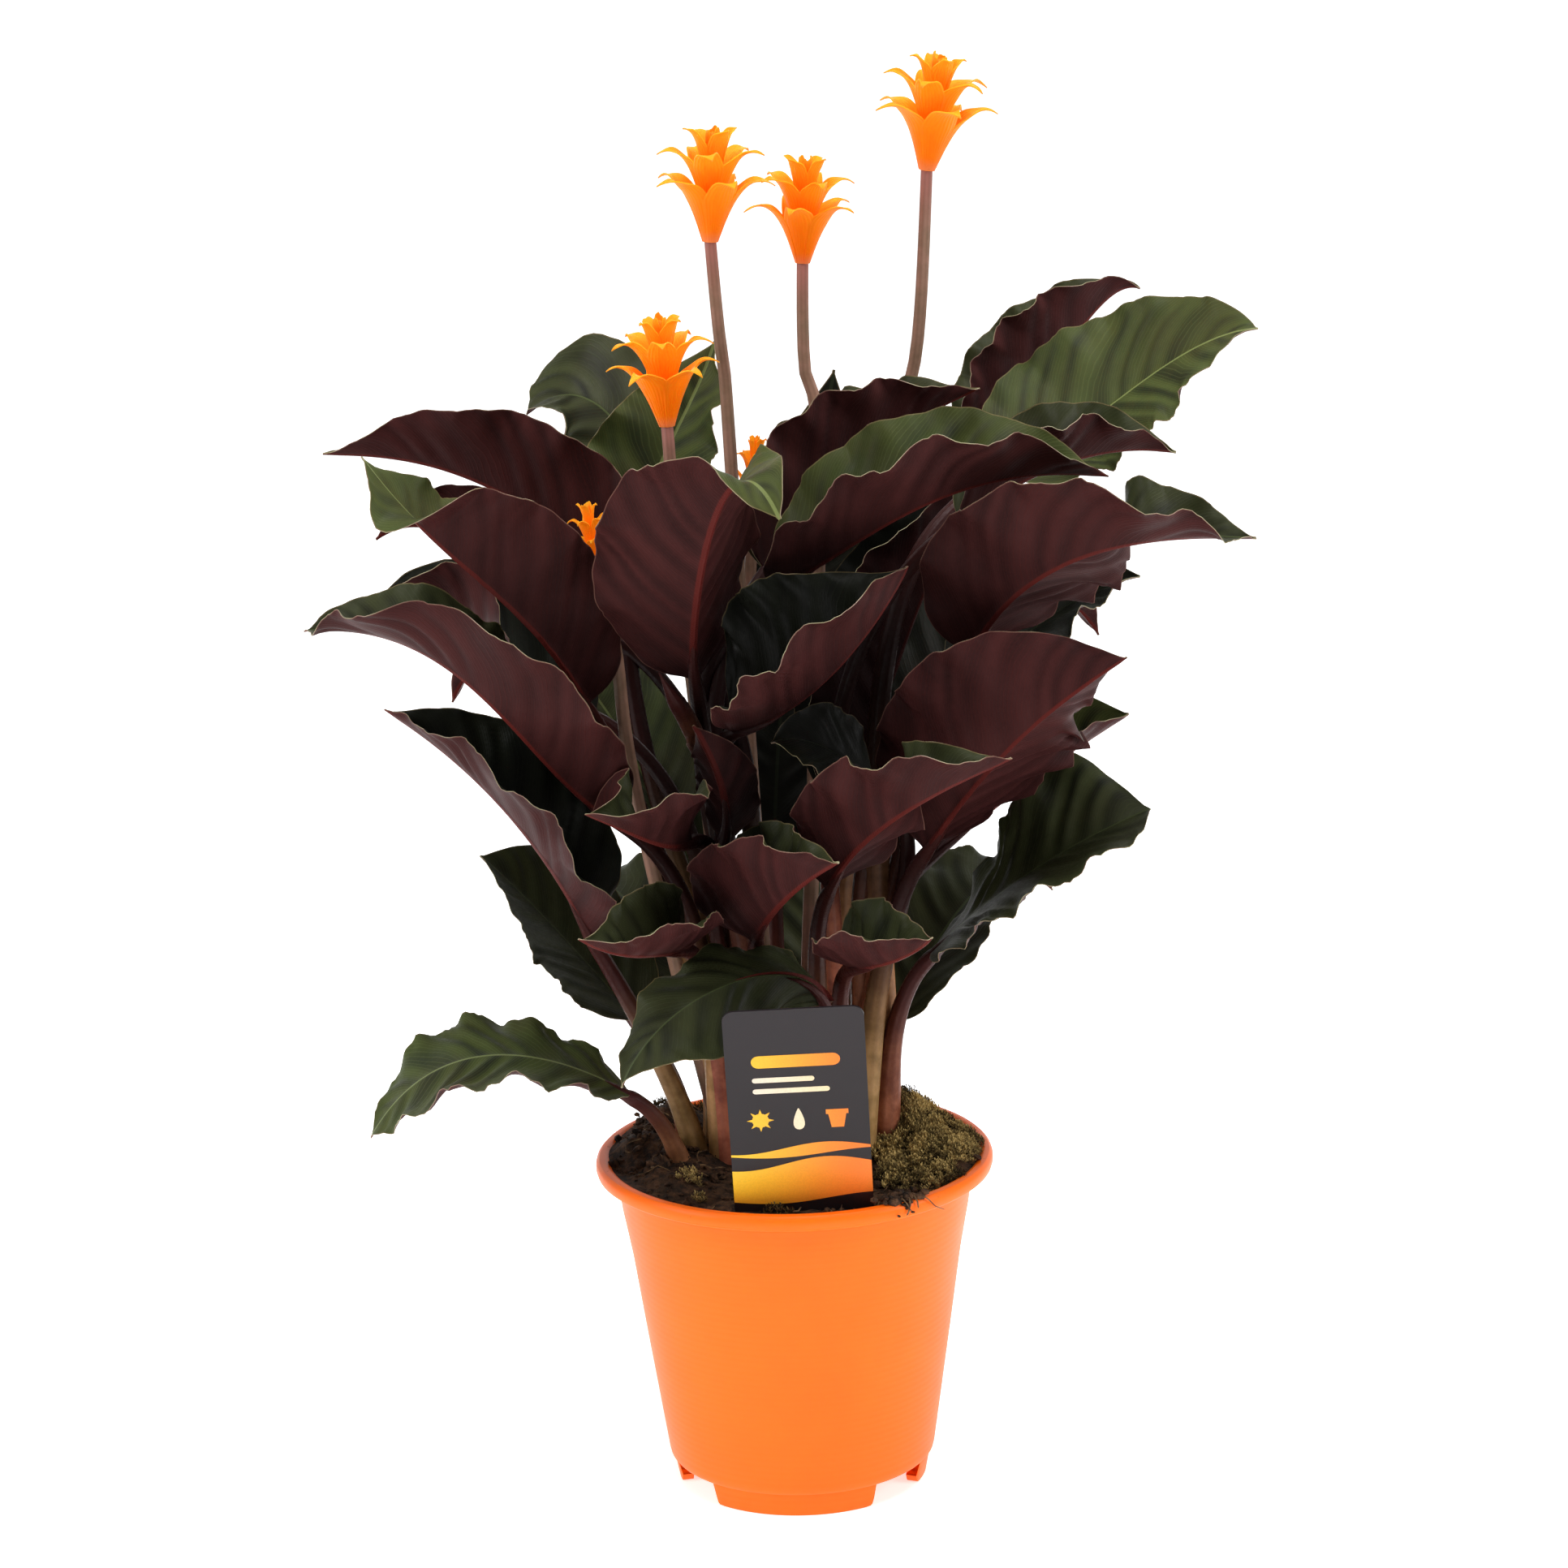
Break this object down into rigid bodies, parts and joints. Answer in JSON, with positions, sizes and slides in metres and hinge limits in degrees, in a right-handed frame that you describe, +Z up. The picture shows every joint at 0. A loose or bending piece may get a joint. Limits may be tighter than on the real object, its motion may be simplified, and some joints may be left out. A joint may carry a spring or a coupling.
{
  "type": "potted prayer plant in flower",
  "caption": "Potted calathea with broad waved leaves, green above and maroon below, orange flower heads on tall stalks, soil, a plant label and a round nursery pot on low feet.",
  "frame": {"origin": "middle of the pot's footprint, on the surface it stands on", "axes": "+Z up, the plant's front with its label towards -Y, +X to the right seen from the front"},
  "size_m": [0.3291, 0.2141, 0.4961],
  "materials": {
    "pot": "smooth moulded polypropylene, soft sheen",
    "soil": "dark fibrous peat with olive moss",
    "label": "thin printed plastic sheet, satin",
    "stems": "ribbed green-brown stalk, slight sheen",
    "leaf": "waxy dark green above, velvety maroon below",
    "bloom": "matte orange bracts"
  },
  "bodies": {
    "root": {"pot": "pot", "soil": "soil", "label": "label", "stems": "stems", "bloom_front_tall": "bloom", "bloom_middle": "bloom", "bloom_highest": "bloom", "bloom_left": "bloom", "bloom_small_left": "bloom", "bloom_small_back": "bloom", "leaf_left_long": "leaf", "leaf_left_back": "leaf", "leaf_left_broad": "leaf", "leaf_left_dark": "leaf", "leaf_left_low": "leaf", "leaf_left_lower": "leaf", "leaf_left_shaded": "leaf", "leaf_bottom_left": "leaf", "leaf_bottom_front": "leaf", "leaf_front_upright": "leaf", "leaf_back_upright": "leaf", "leaf_back_left_high": "leaf", "leaf_upper_centre": "leaf", "leaf_centre_right": "leaf", "leaf_top_right": "leaf", "leaf_behind_top": "leaf", "leaf_right_dark": "leaf", "leaf_right_big": "leaf", "leaf_right_middle": "leaf", "leaf_right_lower": "leaf", "leaf_right_behind": "leaf", "leaf_right_low": "leaf", "leaf_front_right": "leaf", "leaf_front_small": "leaf", "leaf_centre_small": "leaf", "leaf_centre_young": "leaf", "leaf_low_curled": "leaf", "leaf_right_curled": "leaf", "leaf_centre_dark": "leaf", "leaf_centre_tip": "leaf", "leaf_centre_back": "leaf", "leaf_back_left": "leaf", "leaf_back_centre": "leaf", "leaf_back_right": "leaf", "leaf_back_right_low": "leaf", "leaf_back_left_low": "leaf", "leaf_back_low": "leaf"}
  },
  "joints": []
}
